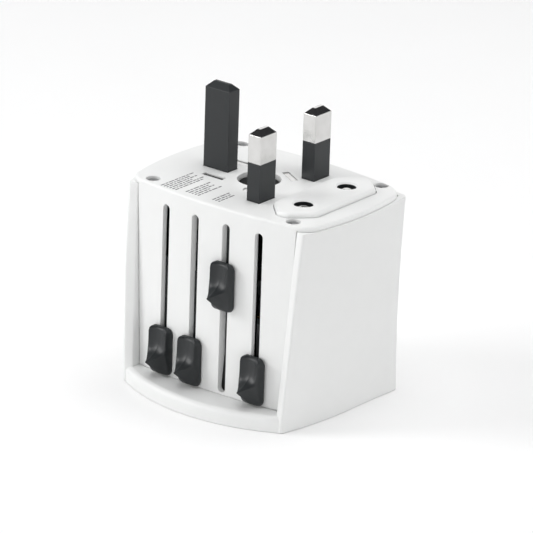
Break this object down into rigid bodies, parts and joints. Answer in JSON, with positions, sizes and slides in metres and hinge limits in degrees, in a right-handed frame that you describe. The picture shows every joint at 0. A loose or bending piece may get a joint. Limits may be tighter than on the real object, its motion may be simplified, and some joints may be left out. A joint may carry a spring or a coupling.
{
  "type": "travel adapter",
  "caption": "Boxy travel adapter with sliding plug pins for four regions, thumb knobs in slots, a turn-cap fuse and a universal socket in its base.",
  "frame": {"origin": "middle of the socket face the adapter stands on", "axes": "+Z from the socket face to the plug face, -Y towards the slider face with the knobs, +X towards the European plug"},
  "size_m": [0.0636, 0.0537, 0.0775],
  "materials": {
    "white_plastic": "satin white moulded plastic",
    "dark_plastic": "charcoal moulded plastic with a fine grain",
    "grey_plastic": "mid grey moulded plastic",
    "plated_metal": "polished nickel plate on brass",
    "contact_metal": "rolled spring brass",
    "screw_steel": "zinc plated steel",
    "ceramic": "glazed ceramic tube"
  },
  "bodies": {
    "base": {"outer_shell": "white_plastic", "core_cover": "white_plastic", "socket_face": "white_plastic", "socket_block": "grey_plastic", "contact_live": "contact_metal", "contact_neutral": "contact_metal", "busbar_live": "contact_metal", "busbar_neutral": "contact_metal", "fuse_holder": "grey_plastic", "fuse_end_caps": "plated_metal", "fuse_tube": "ceramic", "case_screws": "screw_steel"},
    "uk_plug": {"uk_carriage": "dark_plastic", "uk_knob": "dark_plastic", "uk_pin_live": "plated_metal", "uk_pin_neutral": "plated_metal", "uk_sleeve_live": "dark_plastic", "uk_sleeve_neutral": "dark_plastic", "uk_earth_pin": "dark_plastic"},
    "us_plug": {"us_carriage": "dark_plastic", "us_knob": "dark_plastic", "us_blade_live": "plated_metal", "us_blade_neutral": "plated_metal"},
    "au_plug": {"au_carriage": "dark_plastic", "au_knob": "dark_plastic", "au_blade_live": "plated_metal", "au_blade_neutral": "plated_metal"},
    "euro_pins": {"euro_carriage": "dark_plastic", "euro_knob": "dark_plastic", "euro_pin_live": "plated_metal", "euro_pin_neutral": "plated_metal", "euro_sleeve_live": "dark_plastic", "euro_sleeve_neutral": "dark_plastic"},
    "euro_riser": {"euro_block": "white_plastic"},
    "fuse_turn_cap": {"fuse_cap": "dark_plastic"}
  },
  "joints": [
    {"name": "uk_slide", "type": "slide", "parent": "base", "child": "uk_plug", "axis": [0, 0, 1], "range_m": [-0.0229, 0]},
    {"name": "us_slide", "type": "slide", "parent": "base", "child": "us_plug", "axis": [0, 0, 1], "range_m": [0, 0.0162]},
    {"name": "au_slide", "type": "slide", "parent": "base", "child": "au_plug", "axis": [0, 0, 1], "range_m": [0, 0.0173]},
    {"name": "euro_slide", "type": "slide", "parent": "base", "child": "euro_pins", "axis": [0, 0, 1], "range_m": [0, 0.0368]},
    {"name": "euro_riser_slide", "type": "slide", "parent": "base", "child": "euro_riser", "axis": [0, 0, 1], "range_m": [0, 0.017]},
    {"name": "fuse_cap_turn", "type": "hinge", "parent": "base", "child": "fuse_turn_cap", "pos_m": [-0.0029, 0, 0.053], "axis": [0, 0, 1], "range_deg": [0, 90]}
  ],
  "couplings": [
    {"joint": "euro_riser_slide", "follows": "euro_slide", "ratio": 0.4619}
  ]
}
